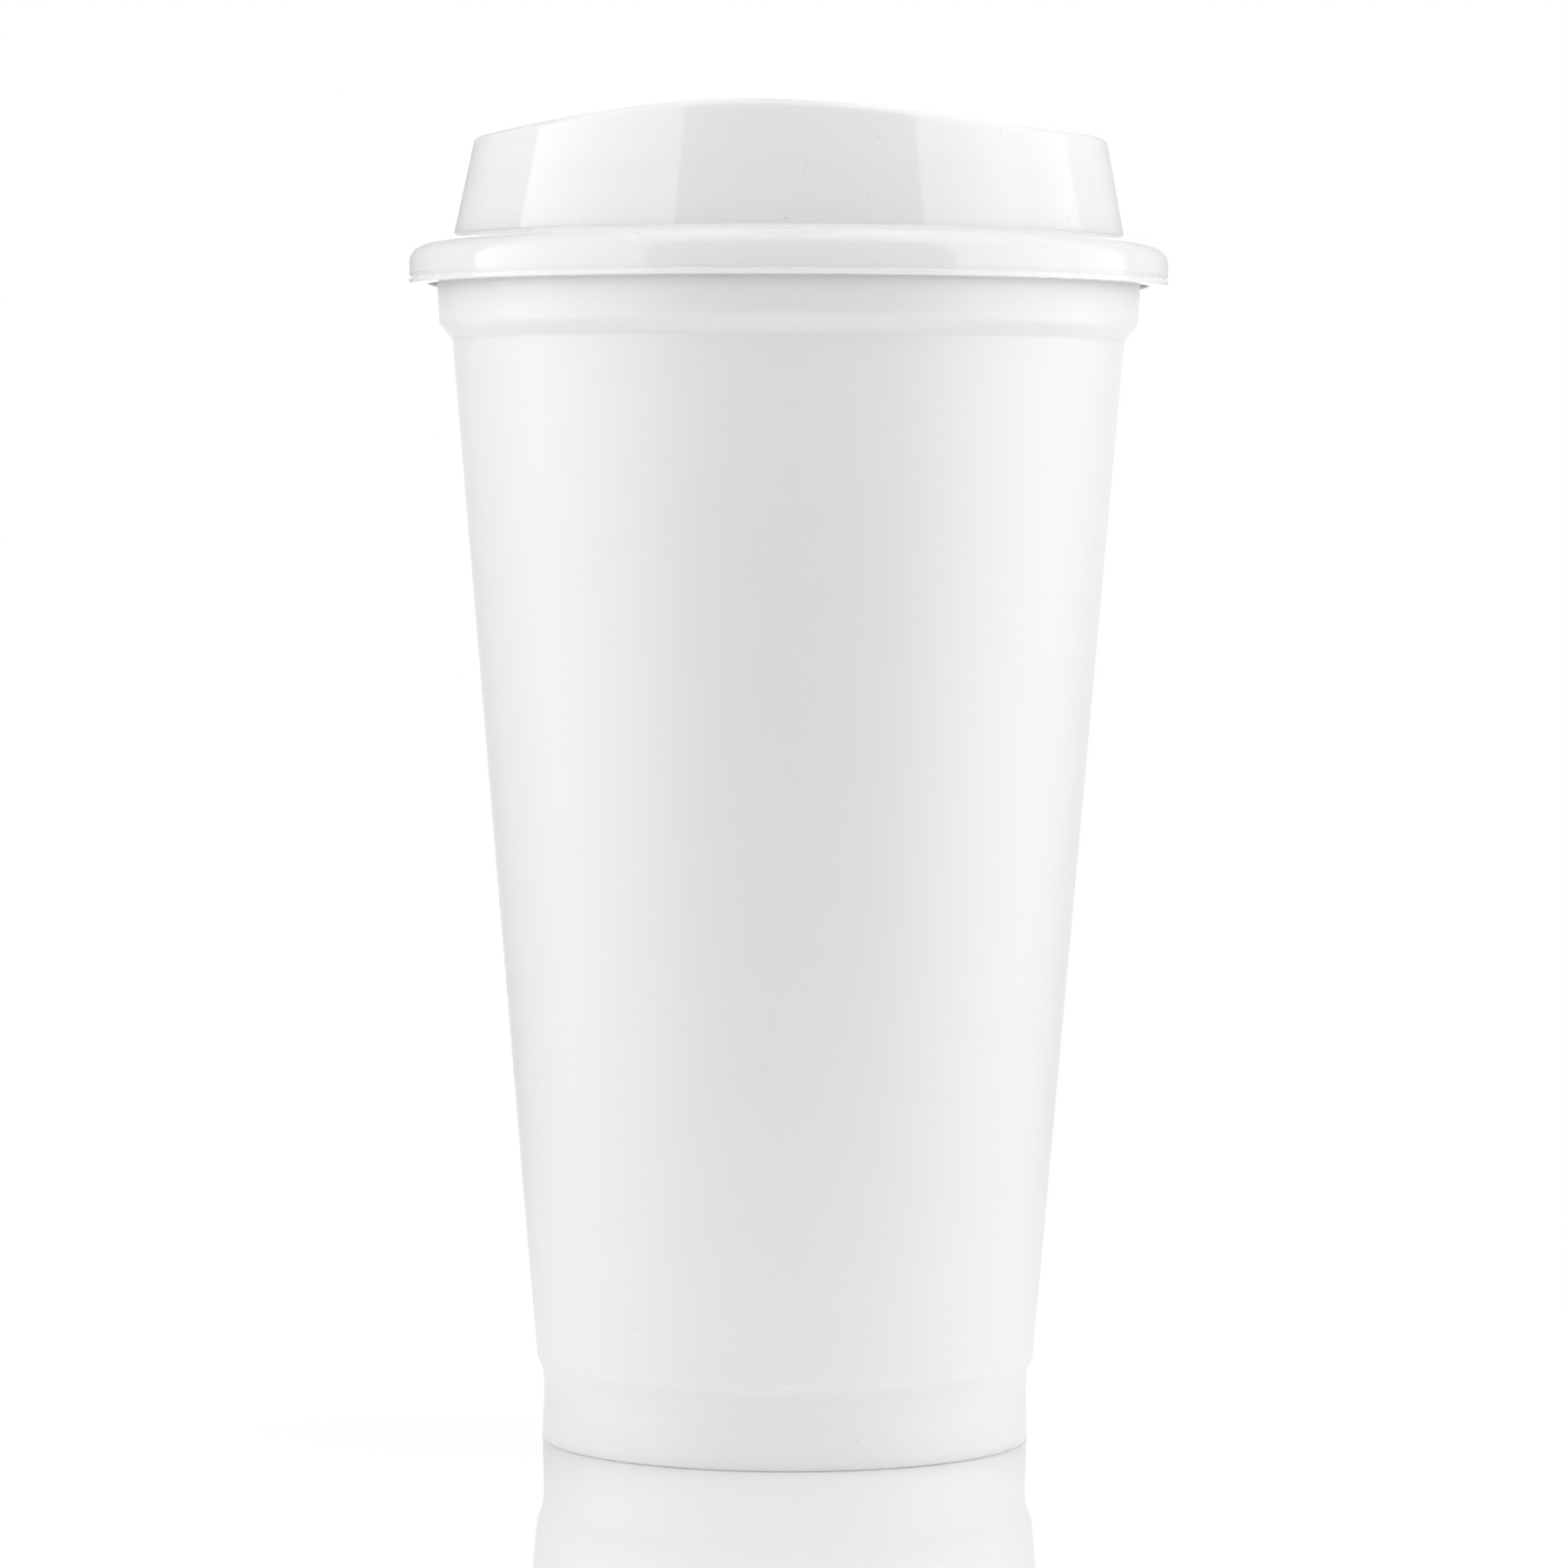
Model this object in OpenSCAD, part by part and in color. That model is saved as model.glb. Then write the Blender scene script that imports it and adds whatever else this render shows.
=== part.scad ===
// Reusable plastic hot-drink tumbler with a lift-off domed sip lid.
// The foot stands on z = 0, the axis is Z, and the drinking side of the lid faces -Y.

/* [Cup] */
// Height of the cup from the table to the top of its rim
cup_h = 148; // [120:0.5:180]
// Diameter over the rim bead that the lid snaps over
rim_d = 90.5; // [88:0.1:94]
// Wall thickness of the cup
cup_wall = 1.5; // [1:0.1:2.2]
// Diameter of the body just above the foot step
body_low_d = 62.4; // [58:0.1:72]

/* [Collar] */
// How far the rim bead stands out from the collar
rim_out = 1.45; // [1:0.05:2]
// Height of the collar from the top of its step to the top of the rim
collar_h = 8.4; // [7.5:0.1:14]
// How much the collar widens toward the rim, on the radius
collar_flare = 0.35; // [0:0.05:0.6]
// How far the collar stands out from the body
collar_out = 1.65; // [0.5:0.05:2.5]
// Height of the step between the body and the collar
collar_step_h = 3.3; // [1:0.1:6]

/* [Foot] */
// Height of the foot band up to its step
foot_h = 7; // [6.5:0.1:12]
// How far the foot band steps in from the body
foot_in = 1; // [0.3:0.05:2]
// How much the foot band widens toward the table, on the radius
foot_flare = 0.2; // [0:0.05:0.5]
// Height of the step between the foot band and the body
foot_step_h = 4; // [1:0.1:8]
// Rounding of the foot ring's two edges
foot_round = 0.5; // [0.2:0.05:0.6]
// Depth of the hollow under the cup
base_recess = 3.4; // [2:0.1:4]
// Thickness of the cup's floor
floor_t = 1.6; // [1:0.1:2]
// Fillet between the floor and the wall inside
floor_fillet = 1.8; // [0.5:0.1:3]
// Diameter of the moulding nub under the floor
nub_d = 4; // [2:0.1:8]
// Height of the moulding nub
nub_h = 0.5; // [0.2:0.1:1]

/* [Lid flange] */
// Thickness of the flange skirt
skirt_wall = 1.6; // [1:0.1:2.2]
// How far the skirt reaches below the cup's rim bead
skirt_hook = 1.15; // [1.05:0.05:3]
// How far the snap bead stands in from the skirt
snap_in = 0.5; // [0.2:0.05:0.5]
// Rounding of the flange shoulder
shoulder_round = 2.9; // [1.5:0.1:3]
// Thickness of the flange above the rim, at the shoulder
crest_t = 1.4; // [1:0.1:3]
// Rise of the flange from the shoulder to the foot of the dome
crest_rise = 0.5; // [0:0.1:1.5]
// Width of the flange from its outer edge to the foot of the dome
flange_w = 5.5; // [4.5:0.1:6.5]
// Height of the slightly proud band at the skirt's lower edge
edge_band_h = 0.9; // [0.4:0.1:1.2]
// How far that band stands out
edge_band_out = 0.1; // [0.05:0.05:0.3]
// Radial clearance between the snap bead and the cup's rim
snap_gap = 0.15; // [0.1:0.05:0.3]
// Clearance between the rim's top and the lid's seat
seat_gap = 0.1; // [0.05:0.05:0.3]

/* [Lid plug] */
// Radial clearance between the plug and the cup's inside
plug_gap = 0.2; // [0.1:0.05:0.5]
// Depth of the plug below the lid's seat
plug_h = 6.4; // [3:0.1:7]
// Lead-in chamfer at the plug's lower edge
plug_lead = 0.5; // [0.2:0.1:0.6]
// Width of the ledge inside, where the dome rises from the plug
plug_ledge = 0.3; // [0.2:0.05:0.5]

/* [Lid dome] */
// Wall thickness of the dome and of its top panel
dome_wall = 1.4; // [1:0.1:2]
// Height of the dome at its back and sides
dome_h = 12.5; // [10:0.1:20]
// Mean slope of the dome's wall from upright, in degrees
dome_slope = 10.4; // [4:0.1:15]
// Lean of the dome toward its back, in degrees
dome_lean = 6.9; // [0:0.1:8]
// Depth of the top panel below the back of the dome's edge
panel_drop = 5; // [3:0.1:7]
// Height of the raised drinking lip over the rest of the edge
lip_h = 2.6; // [1:0.1:5]
// Distance in front of the axis at which the lip starts to rise
lip_start = 17; // [8:0.5:25]
// Length of the sip opening
sip_l = 18; // [10:0.5:24]
// Width of the sip opening
sip_w = 5; // [4.5:0.1:7]
// Distance from the front wall of the dome to the sip opening
sip_inset = 1.6; // [1:0.1:4]
// Diameter of the vent hole
vent_d = 1.6; // [1:0.1:3]
// Distance of the vent hole behind the axis
vent_back = 26; // [10:0.5:34]

/* [Hidden] */
$fn = 120;
// Steps along each rounded stretch of an outline
arc_steps = 8;
// How far a cutter runs past the faces that it opens
past = 1;
// How far the lip's arc dips under the dome's edge, so that the two cuts cross cleanly
lip_dip = 0.03;

// The cup's radii and heights, from the rim down
rim_r = rim_d / 2;
collar_high_r = rim_r - rim_out;
collar_low_r = collar_high_r - collar_flare;
body_high_r = collar_low_r - collar_out;
body_low_r = body_low_d / 2;
foot_neck_r = body_low_r - foot_in;
foot_r = foot_neck_r + foot_flare;
foot_in_r = foot_neck_r - cup_wall;
collar_z = cup_h - collar_h;
floor_z = base_recess + floor_t;
fillet_r = min(floor_fillet, foot_h - floor_z);

// The rim bead is a full round between the collar's inside and the rim's diameter
bead_r = (rim_out + cup_wall) / 2;
bead_c = [rim_r - bead_r, cup_h - bead_r];
bead_start = -acos((collar_high_r - bead_c[0]) / bead_r);
bead_z = bead_c[1] + bead_r * sin(bead_start);

// The lid's radii and heights, from the rim that it sits on
skirt_in_r = rim_r + snap_gap + snap_in;
flange_r = skirt_in_r + skirt_wall;
flange_z = bead_z - skirt_hook;
snap_z = bead_z - skirt_hook / 2;
seat_z = cup_h + seat_gap;
crest_z = seat_z + crest_t;
shoulder_c = [flange_r - shoulder_round, crest_z - shoulder_round];
dome_r = flange_r - flange_w;
dome_z = crest_z + crest_rise;
dome_top_z = dome_z + dome_h;
dome_inset = dome_wall / cos(dome_slope);
panel_z = dome_top_z - panel_drop;
lip_top_z = dome_top_z + lip_h;
plug_r = collar_low_r - cup_wall - plug_gap;
plug_in_r = dome_r - dome_inset - plug_ledge;
plug_z = seat_z - plug_h;
// The leaning cone is set back by this much, so that its base stays centred on the flange
dome_back = dome_r * sin(dome_lean) * tan(dome_slope);
// How far the cone's slanted ends reach past the level planes that trim it
dome_spill = flange_r * sin(dome_lean) + past;

// The lip's arc touches the dome's edge at lip_start and reaches lip_h at the front
lip_run = dome_front(lip_top_z) - lip_start;
lip_arc_r = (lip_run * lip_run + lip_h * lip_h) / (2 * lip_h);
sip_y = -(dome_front(panel_z) - dome_inset - sip_inset - sip_w / 2);

// Radius of the dome's cone around its own leaning axis
function dome_cone_r(z) = dome_r - (z - dome_z) * tan(dome_slope);

// Distance from the axis to the front of the dome's wall
function dome_front(z) = dome_r / cos(dome_lean) - (z - dome_z) * tan(dome_slope + dome_lean);

// Points on an arc about c, from angle a to angle b
function arc(c, r, a, b) =
    [for (i = [0:arc_steps]) let (t = a + (b - a) * i / arc_steps) c + r * [cos(t), sin(t)]];

// Points of a soft S from radius and height p to q
function soft_step(p, q) =
    [for (i = [0:arc_steps]) let (t = i / arc_steps)
        [p[0] + (q[0] - p[0]) * (1 - cos(180 * t)) / 2, p[1] + (q[1] - p[1]) * t]];

// Outside of the cup from the table to the rim bead
function cup_outside() = concat(
    arc([foot_r - foot_round, foot_round], foot_round, -90, 0),
    soft_step([foot_neck_r, foot_h], [body_low_r, foot_h + foot_step_h]),
    soft_step([body_high_r, collar_z - collar_step_h], [collar_low_r, collar_z]),
    arc(bead_c, bead_r, bead_start, 180));

// Inside of the cup from the rim down to the middle of the floor
function cup_inside() = concat(
    soft_step([collar_low_r - cup_wall, collar_z], [body_high_r - cup_wall, collar_z - collar_step_h]),
    soft_step([body_low_r - cup_wall, foot_h + foot_step_h], [foot_in_r, foot_h]),
    arc([foot_in_r - fillet_r, floor_z + fillet_r], fillet_r, 0, -90),
    [[0, floor_z]]);

// Underside of the cup from its middle to the foot ring
function cup_underside() = concat(
    [[0, base_recess], [foot_in_r - foot_round, base_recess]],
    arc([foot_in_r + foot_round, foot_round], foot_round, 180, 270));

module cup() {
    color("white") union() {
        rotate_extrude() polygon(concat(cup_outside(), cup_inside(), cup_underside()));
        translate([0, 0, base_recess - nub_h]) cylinder(h = nub_h + floor_t / 2, d = nub_d);
    }
}

// Section of the flange, its snap bead and the plug
module flange_section() {
    polygon(concat(
        [[plug_in_r, plug_z], [plug_r - plug_lead, plug_z], [plug_r, plug_z + 2 * plug_lead],
         [plug_r, seat_z], [skirt_in_r, seat_z]],
        arc([skirt_in_r, snap_z], snap_in, 90, 270),
        [[skirt_in_r, flange_z], [flange_r + edge_band_out, flange_z],
         [flange_r + edge_band_out, flange_z + edge_band_h], [flange_r, flange_z + edge_band_h]],
        arc(shoulder_c, shoulder_round, 0, 90),
        [[dome_r, dome_z], [plug_in_r, dome_z]]));
}

// A leaning cone that follows the dome's wall, inset from its outside and trimmed level
module dome_cone(from, to, inset) {
    low = from - dome_spill;
    high = to + dome_spill;
    intersection() {
        translate([0, dome_back, dome_z]) rotate([-dome_lean, 0, 0]) translate([0, 0, low - dome_z])
            cylinder(h = high - low, r1 = dome_cone_r(low) - inset, r2 = dome_cone_r(high) - inset);
        translate([-flange_r, -flange_r, from]) cube([2 * flange_r, 2 * flange_r, to - from]);
    }
}

// Everything above the dome's edge: level at the back, rising in an arc to the drinking lip
module above_edge() {
    translate([-flange_r, -lip_start, dome_top_z])
        cube([2 * flange_r, 2 * flange_r, lip_h + 2 * past]);
    translate([0, -lip_start, dome_top_z + lip_arc_r - lip_dip])
        rotate([0, 90, 0]) cylinder(h = 2 * flange_r, r = lip_arc_r, center = true);
}

// A slot with round ends, through the top panel
module sip_hole() {
    half = (sip_l - sip_w) / 2;
    translate([0, sip_y, panel_z - dome_wall - past]) {
        translate([-half, -sip_w / 2, 0]) cube([2 * half, sip_w, dome_wall + 2 * past]);
        for (side = [-1, 1])
            translate([side * half, 0, 0]) cylinder(h = dome_wall + 2 * past, d = sip_w);
    }
}

module lid() {
    color("white") difference() {
        union() {
            rotate_extrude() flange_section();
            dome_cone(dome_z - crest_t / 2, lip_top_z + past, 0);
        }
        translate([0, 0, plug_z - past]) cylinder(h = dome_z - plug_z + past, r = plug_in_r);
        dome_cone(dome_z, panel_z - dome_wall, dome_inset);
        dome_cone(panel_z, lip_top_z + 2 * past, dome_inset);
        above_edge();
        sip_hole();
        translate([0, vent_back, panel_z - dome_wall - past])
            cylinder(h = dome_wall + 2 * past, d = vent_d);
    }
}

cup();
lid();
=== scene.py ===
"""A reusable hot-drink tumbler on a glossy white table: a satin cup and its glossy snap-on sip lid."""
import math

import bmesh
import bpy
import numpy as np
from mathutils import Matrix


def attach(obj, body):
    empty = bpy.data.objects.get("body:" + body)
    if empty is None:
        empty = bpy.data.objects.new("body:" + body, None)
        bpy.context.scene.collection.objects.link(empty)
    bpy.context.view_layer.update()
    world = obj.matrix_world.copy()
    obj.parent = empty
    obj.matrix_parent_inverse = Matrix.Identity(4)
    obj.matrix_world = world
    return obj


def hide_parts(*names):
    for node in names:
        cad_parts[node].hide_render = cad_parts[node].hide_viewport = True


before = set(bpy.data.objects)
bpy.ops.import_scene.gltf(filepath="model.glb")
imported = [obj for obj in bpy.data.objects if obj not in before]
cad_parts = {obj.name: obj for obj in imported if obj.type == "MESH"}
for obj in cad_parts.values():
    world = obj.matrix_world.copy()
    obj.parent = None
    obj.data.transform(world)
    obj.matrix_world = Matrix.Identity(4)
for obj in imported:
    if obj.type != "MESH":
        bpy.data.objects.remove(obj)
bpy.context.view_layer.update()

MM = 0.001
TURN = 2 * math.pi

# ---------------------------------------------------------------- the tumbler's sizes, in millimetres

# Cup: radii and heights of its outside
FOOT_NECK_R, FOOT_R, FOOT_H = 30.2, 30.4, 7.0
FOOT_STEP, BODY_LOW = (30.38, 8.8), (31.08, 10.3)
BODY_HIGH = (41.84, 137.15)
COLLAR_LOW = (43.48, 139.1)
COLLAR_HIGH_R = 43.8
RIM_R, CUP_H = 45.25, 148.0
CUP_WALL = 1.5
FLOOR_Z, RECESS_Z, NUB_R, NUB_H = 5.0, 3.4, 2.0, 0.5

# Lid: flange, plug and dome
FLANGE_R, FLANGE_Z, SKIRT_IN_R = 47.5, 143.95, 45.9
SNAP_R, SNAP_TOP_Z = 44.95, 145.3
SEAT_Z, SHOULDER_Z = 148.1, 148.8
DOME_R, DOME_Z = 42.0, 150.0
DOME_SLOPE, DOME_LEAN = math.radians(10.4), math.radians(6.9)
DOME_SIDE_Z, LIP_RISE, LIP_REACH = 162.45, 2.65, math.radians(66)
DOME_INSET = 1.42
PANEL_Z, PANEL_UNDER_Z = 157.5, 156.1
PLUG_R, PLUG_IN_R, PLUG_Z = 41.75, 40.28, 141.7
SIP_Y, SIP_LENGTH, SIP_WIDTH = -34.45, 18.0, 5.0
VENT_Y, VENT_R = 26.0, 0.8

# Stretches of the flange's parting line where the flash stands up: from and to, in degrees, and how far
FLASH_STRETCHES = ((-9.5, -2.0, 0.09), (4.4, 12.4, 0.09), (9.9, 11.6, 0.08), (19.2, 27.0, 0.07), (41, 55, 0.06),
                   (78, 83, 0.08), (118, 141, 0.06), (166, 173, 0.08), (-38, -29, 0.05), (-77, -60, 0.06),
                   (-124, -119, 0.09), (-158, -140, 0.05))

CUP_FACETS = 256
LID_FACETS = 360

# How white the two plastics are, and the small marks on them: places and sizes in millimetres
CUP_WHITE, LID_WHITE = 0.88, 0.845
CUP_SPECKS = (((-1.66, -39.78, 113.35), 0.2), ((-15.75, -29.64, 39.57), 0.2), ((19.08, -39.14, 140.49), 0.18),
              ((12.63, -27.53, 3.67), 0.4), ((30.1, 24.0, 88.2), 0.2), ((-33.5, 12.4, 61.0), 0.16))
LID_SCRATCHES = (((4.04, -41.39, 151.34), (4.01, -41.6, 150.69)), ((4.01, -41.6, 150.69), (3.41, -42.1, 149.95)),
                 ((20.1, 35.6, 152.4), (21.6, 34.3, 153.8)))
LID_HAIRS = (((-19.51, -37.07, 150.36), (-19.56, -37.43, 149.95)), ((-19.56, -37.43, 149.95), (-19.58, -39.12, 149.62)),
             ((-12.06, -44.59, 148.96), (-11.72, -45.01, 148.73)), ((-11.72, -45.01, 148.73), (-11.42, -44.95, 148.84)),
             ((5.34, -41.45, 150.69), (5.75, -41.42, 150.59)))
LID_DUST = (((0.24, -42.81, 149.82), 0.2), ((-21.64, -36.95, 149.82), 0.13), ((7.6, -39.17, 156.95), 0.12),
            ((14.72, -38.29, 153.27), 0.12))
LID_NICKS = (((16.15, -36.17, 158.1), 0.2), ((19.67, -35.15, 155.92), 0.15), ((11.95, -38.96, 154.17), 0.15))


# ---------------------------------------------------------------- outlines

def arc(centre, radius, start, end, steps):
    """Points on a round from start to end, in degrees."""
    turns = np.radians(np.linspace(start, end, steps + 1))
    return [(centre[0] + radius * math.cos(t), centre[1] + radius * math.sin(t)) for t in turns]


def rounded(corners, steps=8, hold=0.12):
    """An outline through corners (radius, height, rounding), with each corner rounded off.
    A point just outside each round keeps the shading of the straight stretch straight."""
    spots = [np.array(corner[:2]) for corner in corners]
    lengths = [float(np.linalg.norm(b - a)) for a, b in zip(spots, spots[1:])]
    ways = [(b - a) / length for a, b, length in zip(spots, spots[1:], lengths)]
    reaches = [0.0] * len(corners)
    for i in range(1, len(corners) - 1):
        sweep = math.acos(max(-1, min(1, float(ways[i - 1] @ ways[i]))))
        reaches[i] = corners[i][2] * math.tan(sweep / 2)
    holds = [min(hold, 0.3 * max(length - before - after, 0))
             for length, before, after in zip(lengths, reaches, reaches[1:])]
    points = [tuple(spots[0])]
    for i in range(1, len(corners) - 1):
        if not corners[i][2]:
            points.append(tuple(spots[i]))
            continue
        sweep = 2 * math.atan(reaches[i] / corners[i][2])
        first, second = spots[i] - ways[i - 1] * reaches[i], spots[i] + ways[i] * reaches[i]
        bend = ways[i] - ways[i - 1]
        centre = spots[i] + bend / np.linalg.norm(bend) * corners[i][2] / math.cos(sweep / 2)
        a, b = first - centre, second - centre
        points.append(tuple(first - ways[i - 1] * holds[i - 1]))
        for t in np.linspace(0, 1, steps + 1):
            points.append(tuple(centre + (a * math.sin((1 - t) * sweep) + b * math.sin(t * sweep)) / math.sin(sweep)))
        points.append(tuple(second + ways[i] * holds[i]))
    return points + [tuple(spots[-1])]


def held(points, reach=2.0, hold=0.12):
    """Adds a point just inside each end of a long straight stretch, which keeps its shading straight."""
    result = [points[0]]
    for before, after in zip(points, points[1:]):
        a, b = np.array(before), np.array(after)
        length = np.linalg.norm(b - a)
        if length > reach:
            result += [tuple(a + (b - a) * hold / length), tuple(b - (b - a) * hold / length)]
        result.append(after)
    return result


# ---------------------------------------------------------------- meshes

def as_piece(name, bm):
    """Turns a bmesh in millimetres into an object in metres with smooth shading."""
    bmesh.ops.remove_doubles(bm, verts=bm.verts, dist=1e-5)
    bmesh.ops.dissolve_degenerate(bm, edges=bm.edges, dist=1e-6)
    bmesh.ops.scale(bm, vec=(MM, MM, MM), verts=bm.verts)
    bmesh.ops.recalc_face_normals(bm, faces=bm.faces)
    mesh = bpy.data.meshes.new(name)
    bm.to_mesh(mesh)
    bm.free()
    mesh.polygons.foreach_set("use_smooth", [True] * len(mesh.polygons))
    piece = bpy.data.objects.new(name, mesh)
    bpy.context.scene.collection.objects.link(piece)
    return piece


def ring_of(bm, points):
    return [bm.verts.new(p) for p in points]


def join_rings(bm, rings):
    """Quads between each ring of corners and the next."""
    for low, high in zip(rings, rings[1:]):
        for i in range(len(low)):
            j = (i + 1) % len(low)
            bm.faces.new((low[i], low[j], high[j], high[i]))


def ring_edges(bm, ring):
    edges = []
    for i, corner in enumerate(ring):
        other = ring[(i + 1) % len(ring)]
        edges.append(bm.edges.get((corner, other)) or bm.edges.new((corner, other)))
    return edges


def turned(bm, section, facets):
    """Rings round the axis from section(angle), a list of (radius, height); returns them in order.
    Angle 0 is the drinking side, -Y, and it grows toward +X."""
    angles = np.linspace(0, TURN, facets, endpoint=False)
    sections = [section(t) for t in angles]
    rings = [ring_of(bm, [(s[k][0] * math.sin(t), -s[k][0] * math.cos(t), s[k][1])
                          for s, t in zip(sections, angles)]) for k in range(len(sections[0]))]
    join_rings(bm, rings)
    return rings


def capped(bm, ring, height):
    """Closes a ring with a flat disc."""
    middle = bm.verts.new((0, 0, height))
    for i, corner in enumerate(ring):
        bm.faces.new((corner, ring[(i + 1) % len(ring)], middle))


# ---------------------------------------------------------------- cup

def cup_section():
    """The cup's outline from the nub under its floor, round the foot, up to the rim and down inside."""
    bead_r = (RIM_R - (COLLAR_HIGH_R - CUP_WALL)) / 2
    bead = (RIM_R - bead_r, CUP_H - bead_r)
    bead_start = -math.degrees(math.acos((COLLAR_HIGH_R - bead[0]) / bead_r))
    foot_in_r = FOOT_NECK_R - CUP_WALL
    under = rounded([(0.4, RECESS_Z - NUB_H, 0), (NUB_R, RECESS_Z - NUB_H, 0.25), (NUB_R, RECESS_Z, 0.2),
                     (foot_in_r, RECESS_Z, 0.8), (foot_in_r, 0, 0.3), (FOOT_R, 0, 0.25),
                     (FOOT_NECK_R, FOOT_H - 0.6, 2.0), (*FOOT_STEP, 2.5), (*BODY_LOW, 0.7),
                     (*BODY_HIGH, 0.7), (*COLLAR_LOW, 2.0), (COLLAR_HIGH_R, bead[1], 0)], steps=9)
    rim = arc(bead, bead_r, bead_start, 180, 28)
    inside = rounded([(bead[0] - bead_r, bead[1], 0), (COLLAR_LOW[0] - CUP_WALL, COLLAR_LOW[1] + 0.3, 1.5),
                      (BODY_HIGH[0] - CUP_WALL, BODY_HIGH[1], 1.5), (BODY_LOW[0] - CUP_WALL, BODY_LOW[1], 1.5),
                      (foot_in_r, FOOT_H + 1.0, 1.5), (foot_in_r, FLOOR_Z, 1.8), (0.4, FLOOR_Z, 0)], steps=8)
    return held(under[:-1] + rim + inside[1:])


def make_cup():
    bm = bmesh.new()
    section = cup_section()
    rings = turned(bm, lambda angle: section, CUP_FACETS)
    capped(bm, rings[0], section[0][1])
    capped(bm, rings[-1], section[-1][1])
    return as_piece("satin_cup", bm)


# ---------------------------------------------------------------- lid

def dome_radius(angle, height):
    """Distance from the axis to the outside of the dome, which leans back from the drinking side."""
    rise = height - DOME_Z
    radius = DOME_R - rise * math.tan(DOME_SLOPE)
    back = rise * math.tan(DOME_LEAN)
    return -back * math.cos(angle) + math.sqrt(radius ** 2 - (back * math.sin(angle)) ** 2)


def edge_height(angle):
    """Height of the dome's edge: level at the sides and back, rising to the drinking lip."""
    turn = abs((angle + math.pi) % TURN - math.pi)
    if turn > LIP_REACH:
        return DOME_SIDE_Z
    return DOME_SIDE_Z + LIP_RISE * math.cos(turn / LIP_REACH * math.pi / 2) ** 2


def flash(angle):
    """How far the moulding flash rises from the flange's parting line: a few raised stretches and small nicks."""
    turn = math.degrees((angle + math.pi) % TURN - math.pi)
    rise = 0.03
    for start, end, height in FLASH_STRETCHES:
        rise += height * max(0.0, min(1.0, turn - start, end - turn))
    return rise + 0.012 * (math.sin(41 * angle) + math.sin(83 * angle + 2.1) + math.sin(23 * angle + 0.7))


def lid_section(angle):
    """The lid's outline at an angle: from the panel's top, over the dome's edge, down the outside,
    round the flange and plug, and up under the panel."""
    edge = edge_height(angle)
    fin = flash(angle)
    top_out, top_in = dome_radius(angle, edge), dome_radius(angle, edge) - DOME_INSET
    wall_low = dome_radius(angle, DOME_Z)
    wall_panel = dome_radius(angle, PANEL_Z) - DOME_INSET
    wall_under = dome_radius(angle, PANEL_UNDER_Z) - DOME_INSET
    wall_ledge = dome_radius(angle, DOME_Z) - DOME_INSET
    upper = rounded([(wall_panel - 2.0, PANEL_Z, 0), (wall_panel, PANEL_Z, 0.7), (top_in, edge, 0.15),
                     (top_out, edge, 1.2), (wall_low, DOME_Z, 0.15),
                     (FLANGE_R, SHOULDER_Z, 2.6), (FLANGE_R, FLANGE_Z + 1.3, 0.9),
                     (FLANGE_R - 0.13, FLANGE_Z + 0.7 + fin, 0)], steps=10)
    lower = rounded([(FLANGE_R - 0.1, FLANGE_Z + 0.66 + fin, 0), (FLANGE_R + 0.03, FLANGE_Z + 0.58 + fin, 0),
                     (FLANGE_R + 0.02, FLANGE_Z + 0.48, 0), (FLANGE_R + 0.02, FLANGE_Z, 0.2),
                     (SNAP_R, FLANGE_Z, 0.25), (SNAP_R, FLANGE_Z + 0.5, 0.2), (SKIRT_IN_R, SNAP_TOP_Z, 0.4),
                     (SKIRT_IN_R, SEAT_Z - 1.0, 0)], steps=5)
    plug = rounded([(SKIRT_IN_R, SEAT_Z - 0.9, 0), (SKIRT_IN_R, SEAT_Z, 0.5), (PLUG_R, SEAT_Z, 0.3),
                    (PLUG_R, PLUG_Z + 1.0, 0.2), (PLUG_R - 0.5, PLUG_Z, 0.2), (PLUG_IN_R, PLUG_Z, 0.3),
                    (PLUG_IN_R, DOME_Z, 0.1), (wall_ledge, DOME_Z, 0.1), (wall_under, PANEL_UNDER_Z, 0.7),
                    (wall_under - 2.0, PANEL_UNDER_Z, 0)], steps=6)
    return upper + lower + plug[1:]


def slot_outline(grow):
    """The sip opening's outline, grown by an amount all round."""
    half, radius, points = (SIP_LENGTH - SIP_WIDTH) / 2, SIP_WIDTH / 2 + grow, []
    for side, start in ((1, -90), (-1, 90)):
        points += arc((side * half, SIP_Y), radius, start, start + 180, 16)
    return points


def vent_outline(grow):
    return arc((0, VENT_Y), VENT_R + grow, 0, 360, 28)[:-1]


def pierced(bm, outline, rounding):
    """A hole's wall through the panel, with its two edges rounded; returns its top and bottom rings."""
    profile = [(rounding + 0.1, PANEL_Z)]
    profile += [(rounding * (1 - math.sin(t)), PANEL_Z - rounding * (1 - math.cos(t)))
                for t in np.linspace(0, math.pi / 2, 7)]
    profile += [(rounding * (1 - math.cos(t)), PANEL_UNDER_Z + rounding * (1 - math.sin(t)))
                for t in np.linspace(0, math.pi / 2, 7)]
    profile += [(rounding + 0.1, PANEL_UNDER_Z)]
    rings = [ring_of(bm, [(x, y, z) for x, y in outline(grow)]) for grow, z in profile]
    join_rings(bm, rings)
    return rings[0], rings[-1]


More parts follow.
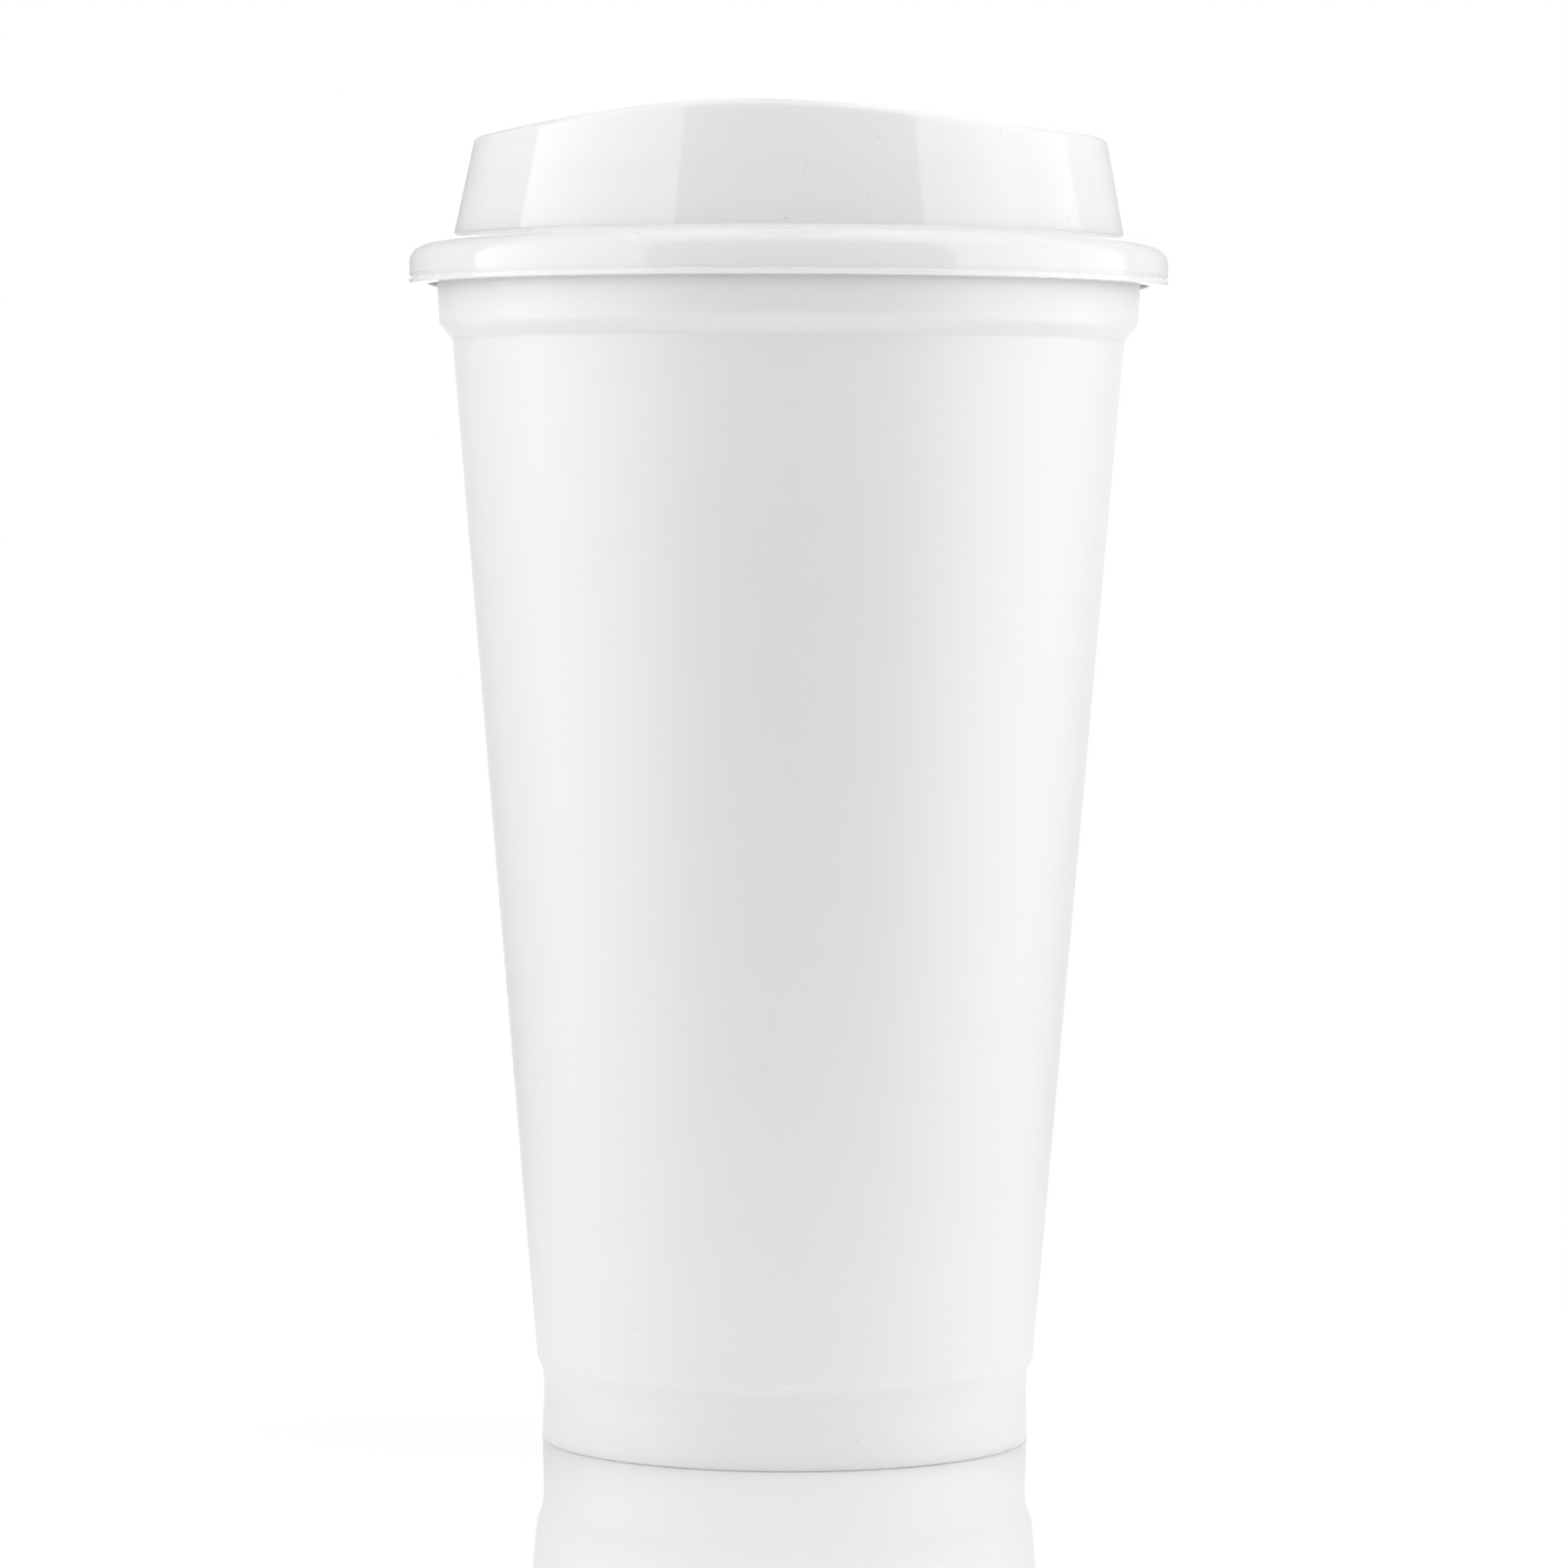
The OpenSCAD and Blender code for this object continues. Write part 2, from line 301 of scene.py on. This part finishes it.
def make_lid():
    bm = bmesh.new()
    rings = turned(bm, lid_section, LID_FACETS)
    holes = [pierced(bm, slot_outline, 0.35), pierced(bm, vent_outline, 0.2)]
    for outer, inner, up in ((rings[0], [h[0] for h in holes], 1), (rings[-1], [h[1] for h in holes], -1)):
        edges = ring_edges(bm, outer) + [e for ring in inner for e in ring_edges(bm, ring)]
        bmesh.ops.triangle_fill(bm, use_beauty=True, use_dissolve=False, edges=edges, normal=(0, 0, up))
    return as_piece("glossy_lid", bm)


# ---------------------------------------------------------------- material nodes

class Wire:
    """One value in a material: arithmetic on wires adds the Math nodes for it."""

    def __init__(self, bench, socket):
        self.bench, self.socket = bench, socket

    def _math(self, operation, first, second=None, clamp=False):
        inputs = {0: first} if second is None else {0: first, 1: second}
        return self.bench.add("ShaderNodeMath", {"operation": operation, "use_clamp": clamp}, inputs)

    def __add__(self, other): return self._math("ADD", self, other)
    def __radd__(self, other): return self._math("ADD", other, self)
    def __sub__(self, other): return self._math("SUBTRACT", self, other)
    def __rsub__(self, other): return self._math("SUBTRACT", other, self)
    def __mul__(self, other): return self._math("MULTIPLY", self, other)
    def __rmul__(self, other): return self._math("MULTIPLY", other, self)
    def __truediv__(self, other): return self._math("DIVIDE", self, other)
    def __neg__(self): return self._math("MULTIPLY", self, -1.0)
    def __abs__(self): return self._math("ABSOLUTE", self)

    def least(self, other): return self._math("MINIMUM", self, other)
    def most(self, other): return self._math("MAXIMUM", self, other)


class Bench:
    """The nodes of one material or of the world."""

    def __init__(self, owner):
        owner.use_nodes = True
        self.tree = owner.node_tree
        self.tree.nodes.clear()

    def add(self, kind, settings=None, inputs=None, out=0):
        """Adds a node: its settings first, then the values or wires of its sockets; returns an output."""
        node = self.tree.nodes.new(kind)
        for name, value in (settings or {}).items():
            setattr(node, name, value)
        for name, value in (inputs or {}).items():
            if isinstance(value, Wire):
                self.tree.links.new(value.socket, node.inputs[name])
            else:
                node.inputs[name].default_value = value
        return Wire(self, node.outputs[out]) if len(node.outputs) else None

    def ramp(self, value, low, high, start=0.0, end=1.0):
        """Runs smoothly from start to end while value goes from low to high."""
        return self.add("ShaderNodeMapRange", {"interpolation_type": "SMOOTHSTEP"},
                        {"Value": value, "From Min": low, "From Max": high, "To Min": start, "To Max": end})

    def noise(self, place, size, detail=2.0, roughness=0.5):
        """Noise whose lumps are about size across, in metres; from 0 to 1 about 0.5."""
        return self.add("ShaderNodeTexNoise", None, {"Vector": place, "Scale": 1 / size, "Detail": detail,
                                                     "Roughness": roughness})

    def grey(self, value):
        """A grey colour from one value."""
        return self.add("ShaderNodeCombineColor", None, {"Red": value, "Green": value, "Blue": value})

    def near(self, place, point, radius):
        """1 on a spot of the surface at a point in millimetres, 0 away from it."""
        there = tuple(c * MM for c in point)
        away = self.add("ShaderNodeVectorMath", {"operation": "DISTANCE"}, {0: place, 1: there}, "Value")
        return self.ramp(away, radius * 0.5 * MM, radius * MM, 1.0, 0.0)

    def line(self, place, start, end, width):
        """1 along a straight mark between two points in millimetres, 0 away from it."""
        start, along = np.array(start) * MM, (np.array(end) - np.array(start)) * MM
        from_start = self.add("ShaderNodeVectorMath", {"operation": "SUBTRACT"}, {0: place, 1: tuple(start)})
        share = self.add("ShaderNodeVectorMath", {"operation": "DOT_PRODUCT"},
                         {0: from_start, 1: tuple(along / (along @ along))}, "Value").most(0.0).least(1.0)
        reached = self.add("ShaderNodeVectorMath", {"operation": "SCALE"}, {0: tuple(along), "Scale": share})
        away = self.add("ShaderNodeVectorMath", {"operation": "DISTANCE"}, {0: from_start, 1: reached}, "Value")
        return self.ramp(away, width * 0.3 * MM, width * MM, 1.0, 0.0)


def plastic(bench, colour, roughness, normal):
    """Moulded polypropylene, which lets light a little way in."""
    shader = bench.add("ShaderNodeBsdfPrincipled", {"subsurface_method": "RANDOM_WALK"},
                       {"Base Color": colour, "Roughness": roughness, "IOR": 1.5, "Normal": normal,
                        "Subsurface Weight": 1.0, "Subsurface Radius": (1, 1, 1), "Subsurface Scale": 1.0 * MM})
    bench.add("ShaderNodeOutputMaterial", None, {"Surface": shader})
    return shader


def satin_plastic():
    """White polypropylene with the fine matt grain of a blasted mould, and a few specks in it."""
    material = bpy.data.materials.new("cup_satin_plastic")
    bench = Bench(material)
    place = bench.add("ShaderNodeTexCoord", None, None, "Object")
    grain = bench.noise(place, 0.25 * MM, 3.0, 0.6)
    mottle = bench.noise(place, 6 * MM, 3.0)
    stray = bench.ramp(bench.noise(place, 1.6 * MM, 0.0), 0.82, 0.86)
    specks = stray * 0.3
    for point, radius in CUP_SPECKS:
        specks = specks + bench.near(place, point, radius)
    level = CUP_WHITE + (mottle - 0.5) * 0.012 + (grain - 0.5) * 0.03 - specks.least(1.0) * 0.06
    roughness = 0.36 + (mottle - 0.5) * 0.05 + (grain - 0.5) * 0.06
    normal = bench.add("ShaderNodeBump", None, {"Height": grain, "Strength": 0.15, "Distance": 0.02 * MM})
    plastic(bench, bench.grey(level), roughness, normal)
    return material


def glossy_plastic():
    """White polypropylene from a polished mould: faint waviness, dust, hairs, fine scratches, and a rougher flash made
    paler, partly its own whitish plastic and partly a painted highlight.
    """
    material = bpy.data.materials.new("lid_gloss_plastic")
    bench = Bench(material)
    place = bench.add("ShaderNodeTexCoord", None, None, "Object")
    height = bench.add("ShaderNodeSeparateXYZ", None, {0: place}, "Z")
    flat = bench.add("ShaderNodeVectorMath", {"operation": "MULTIPLY"}, {0: place, 1: (1, 1, 0)})
    out = bench.add("ShaderNodeVectorMath", {"operation": "LENGTH"}, {0: flat}, "Value")
    grain = bench.noise(place, 0.2 * MM, 2.0)
    wave = bench.noise(place, 7 * MM, 2.0)
    stray = bench.ramp(bench.noise(place, 1.3 * MM, 0.0), 0.84, 0.87)
    dark, pale = stray * 0.15, bench.line(place, *LID_SCRATCHES[0], 0.09)
    for start, end in LID_SCRATCHES[1:]:
        pale = pale + bench.line(place, start, end, 0.09)
    for start, end in LID_HAIRS:
        dark = dark + bench.line(place, start, end, 0.08)
    for point, radius in LID_DUST:
        dark = dark + bench.near(place, point, radius)
    for point, radius in LID_NICKS:
        pale = pale + bench.near(place, point, radius)
    parting = (bench.ramp(height, (FLANGE_Z + 0.5) * MM, (FLANGE_Z + 0.56) * MM)
               * bench.ramp(height, (FLANGE_Z + 0.72) * MM, (FLANGE_Z + 0.8) * MM, 1.0, 0.0)
               * bench.ramp(out, (FLANGE_R - 0.15) * MM, (FLANGE_R - 0.05) * MM))
    # Along the flash the surface is rougher and the colour paler: partly the flash's own whitish rough plastic, partly
    # a painted highlight for the light its top face catches.
    rough_flash_with_painted_highlight = parting * bench.ramp(bench.noise(place, 0.9 * MM, 2.0), 0.35, 0.6, 0.4, 1.0)
    level = (LID_WHITE + (wave - 0.5) * 0.01 + (grain - 0.5) * 0.01 + rough_flash_with_painted_highlight * 0.03
             + pale.least(1.0) * 0.05 - dark.least(1.0) * 0.3)
    roughness = 0.045 + (grain - 0.5) * 0.02 + rough_flash_with_painted_highlight * 0.4 + pale.least(1.0) * 0.2 + dark.least(1.0) * 0.3
    relief = wave + grain * 0.02
    normal = bench.add("ShaderNodeBump", None, {"Height": relief, "Strength": 0.25, "Distance": 0.03 * MM})
    plastic(bench, bench.grey(level), roughness, normal)
    return material


# ---------------------------------------------------------------- camera, table and studio

CAMERA_TURN, CAMERA_TILT, CAMERA_ROLL = math.radians(8.0), math.radians(2.531), math.radians(0.2)
CAMERA_AWAY, CAMERA_HEIGHT, CAMERA_LENS = 0.8, 0.1173, 147.04


def make_camera():
    data = bpy.data.cameras.new("camera")
    data.lens, data.sensor_width, data.sensor_fit = CAMERA_LENS, 36, "HORIZONTAL"
    data.clip_start, data.clip_end = 0.01, 60
    camera = bpy.data.objects.new("camera", data)
    bpy.context.scene.collection.objects.link(camera)
    aside = math.radians(0.0265)
    camera.matrix_world = (
        Matrix.Translation((CAMERA_AWAY * math.sin(CAMERA_TURN), -CAMERA_AWAY * math.cos(CAMERA_TURN),
                            CAMERA_HEIGHT))
        @ Matrix.Rotation(CAMERA_TURN + aside, 4, "Z")
        @ Matrix.Rotation(math.pi / 2 - CAMERA_TILT, 4, "X")
        @ Matrix.Rotation(CAMERA_ROLL, 4, "Z"))
    bpy.context.scene.camera = camera


def make_table():
    """A sheet of glossy white acrylic."""
    bm = bmesh.new()
    bmesh.ops.create_grid(bm, x_segments=1, y_segments=1, size=20)
    mesh = bpy.data.meshes.new("table")
    bm.to_mesh(mesh)
    bm.free()
    table = bpy.data.objects.new("table", mesh)
    bpy.context.scene.collection.objects.link(table)
    material = bpy.data.materials.new("white_acrylic")
    bench = Bench(material)
    place = bench.add("ShaderNodeTexCoord", None, None, "Object")
    away = bench.add("ShaderNodeVectorMath", {"operation": "LENGTH"}, {0: place}, "Value")
    seen = bench.add("ShaderNodeLightPath", None, None, "Is Camera Ray")
    beyond = bench.ramp(away, 0.22, 0.26) * (1 - seen)
    # Painted light: to rays bouncing onto the tumbler the table is whiter near it and darker farther out, a painted
    # pool of bounce light; the camera sees one even pale level.
    level = bench.ramp(away, 0.07, 0.16, 1.0, 0.6) * (1 - seen) + seen * 0.85
    acrylic = bench.add("ShaderNodeBsdfPrincipled", None,
                        {"Base Color": bench.grey(level), "Roughness": 0.03, "IOR": 1.5})
    clear = bench.add("ShaderNodeBsdfTransparent")
    sheet = bench.add("ShaderNodeMixShader", None, {0: beyond, 1: acrylic, 2: clear})
    white = bench.add("ShaderNodeEmission", None, {"Color": (1, 1, 1, 1), "Strength": 1.0})
    shader = bench.add("ShaderNodeMixShader", None, {0: seen * bench.ramp(away, 0.09, 0.22), 1: sheet, 2: white})
    bench.add("ShaderNodeOutputMaterial", None, {"Surface": shader})
    mesh.materials.append(material)


def make_studio():
    """Two tall soft boxes beside the tumbler, a soft ceiling and a white backdrop, by direction."""
    world = bpy.data.worlds.new("studio")
    bpy.context.scene.world = world
    bench = Bench(world)
    direction = bench.add("ShaderNodeTexCoord", None, None, "Generated")
    facing = bench.add("ShaderNodeVectorRotate", {"rotation_type": "Z_AXIS"},
                       {"Vector": direction, "Angle": -CAMERA_TURN})
    x, y, z = (bench.add("ShaderNodeSeparateXYZ", None, {0: facing}, axis) for axis in "XYZ")
    aside = bench.add("ShaderNodeMath", {"operation": "ARCTAN2"}, {0: x, 1: -y}) * (180 / math.pi)
    up = bench.add("ShaderNodeMath", {"operation": "ARCSINE"}, {0: z}) * (180 / math.pi)

    def between(angle, start, end, soft=0.8):
        """1 from start to end, softly falling to 0 outside."""
        return bench.ramp(angle, start - soft, start + soft) * bench.ramp(angle, end - soft, end + soft, 1.0, 0.0)

    def by_height(lowest, *changes):
        """A strength that changes softly to each next level at its height, in degrees."""
        strength, level = lowest, lowest
        for height, following in changes:
            strength = bench.ramp(up, height - 4, height + 4, 0.0, following - level) + strength
            level = following
        return strength

    sides = bench.ramp(abs(aside - 3), 5, 45, 0.86, 1.08)
    front = by_height(1.5, (-30, 0.4), (-14, 0.3), (-3, 0.75), (13, 0.52), (27, 0.08), (47, 0.9)) * sides
    right = by_height(1.8, (-13, 2.0), (-2, 2.6), (13, 2.05), (27, 1.7), (60, 1.45))
    far_right = by_height(1.7, (-13, 1.3), (-2, 1.85), (13, 1.3), (27, 1.5), (60, 1.45))
    left = by_height(1.7, (-13, 1.7), (-2, 2.3), (13, 1.9), (27, 1.65), (45, 1.4), (60, 1.25))
    behind_right = by_height(0.8, (-13, 0.15), (-2, 0.45), (25, 0.67), (42, 1.1), (60, 1.45))
    behind_left = by_height(0.6, (-13, 0.05), (-2, 0.32), (25, 0.25), (42, 0.7), (60, 1.45))
    backdrop = by_height(1.3, (35, 0.6), (55, 0.1))
    light = (between(aside, -43, 50) * front + bench.ramp(aside, 49.2, 50.8) * bench.ramp(aside, 88, 96, 1.0, 0.0) * right
             + bench.ramp(aside, 88, 96) * bench.ramp(aside, 118, 122, 1.0, 0.0) * far_right + between(-aside, 43, 108) * left
             + between(aside, 120, 164) * behind_right + between(-aside, 108, 164) * behind_left
             + bench.ramp(abs(aside), 162, 166) * backdrop)
    path = bench.add("ShaderNodeLightPath", None, None, "Is Camera Ray")
    strength = light * (1 - path) + path * 1.0
    background = bench.add("ShaderNodeBackground", None, {"Color": (1, 1, 1, 1), "Strength": strength})
    bench.add("ShaderNodeOutputWorld", None, {"Surface": background})


cup, lid = make_cup(), make_lid()
cup.data.materials.append(satin_plastic())
lid.data.materials.append(glossy_plastic())
for piece, node, slot in ((cup, "cup", "cup_plastic"), (lid, "lid", "lid_plastic")):
    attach(piece, node)
    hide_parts(node)

make_table()
make_studio()
make_camera()
bpy.context.scene.view_settings.view_transform = "Standard"
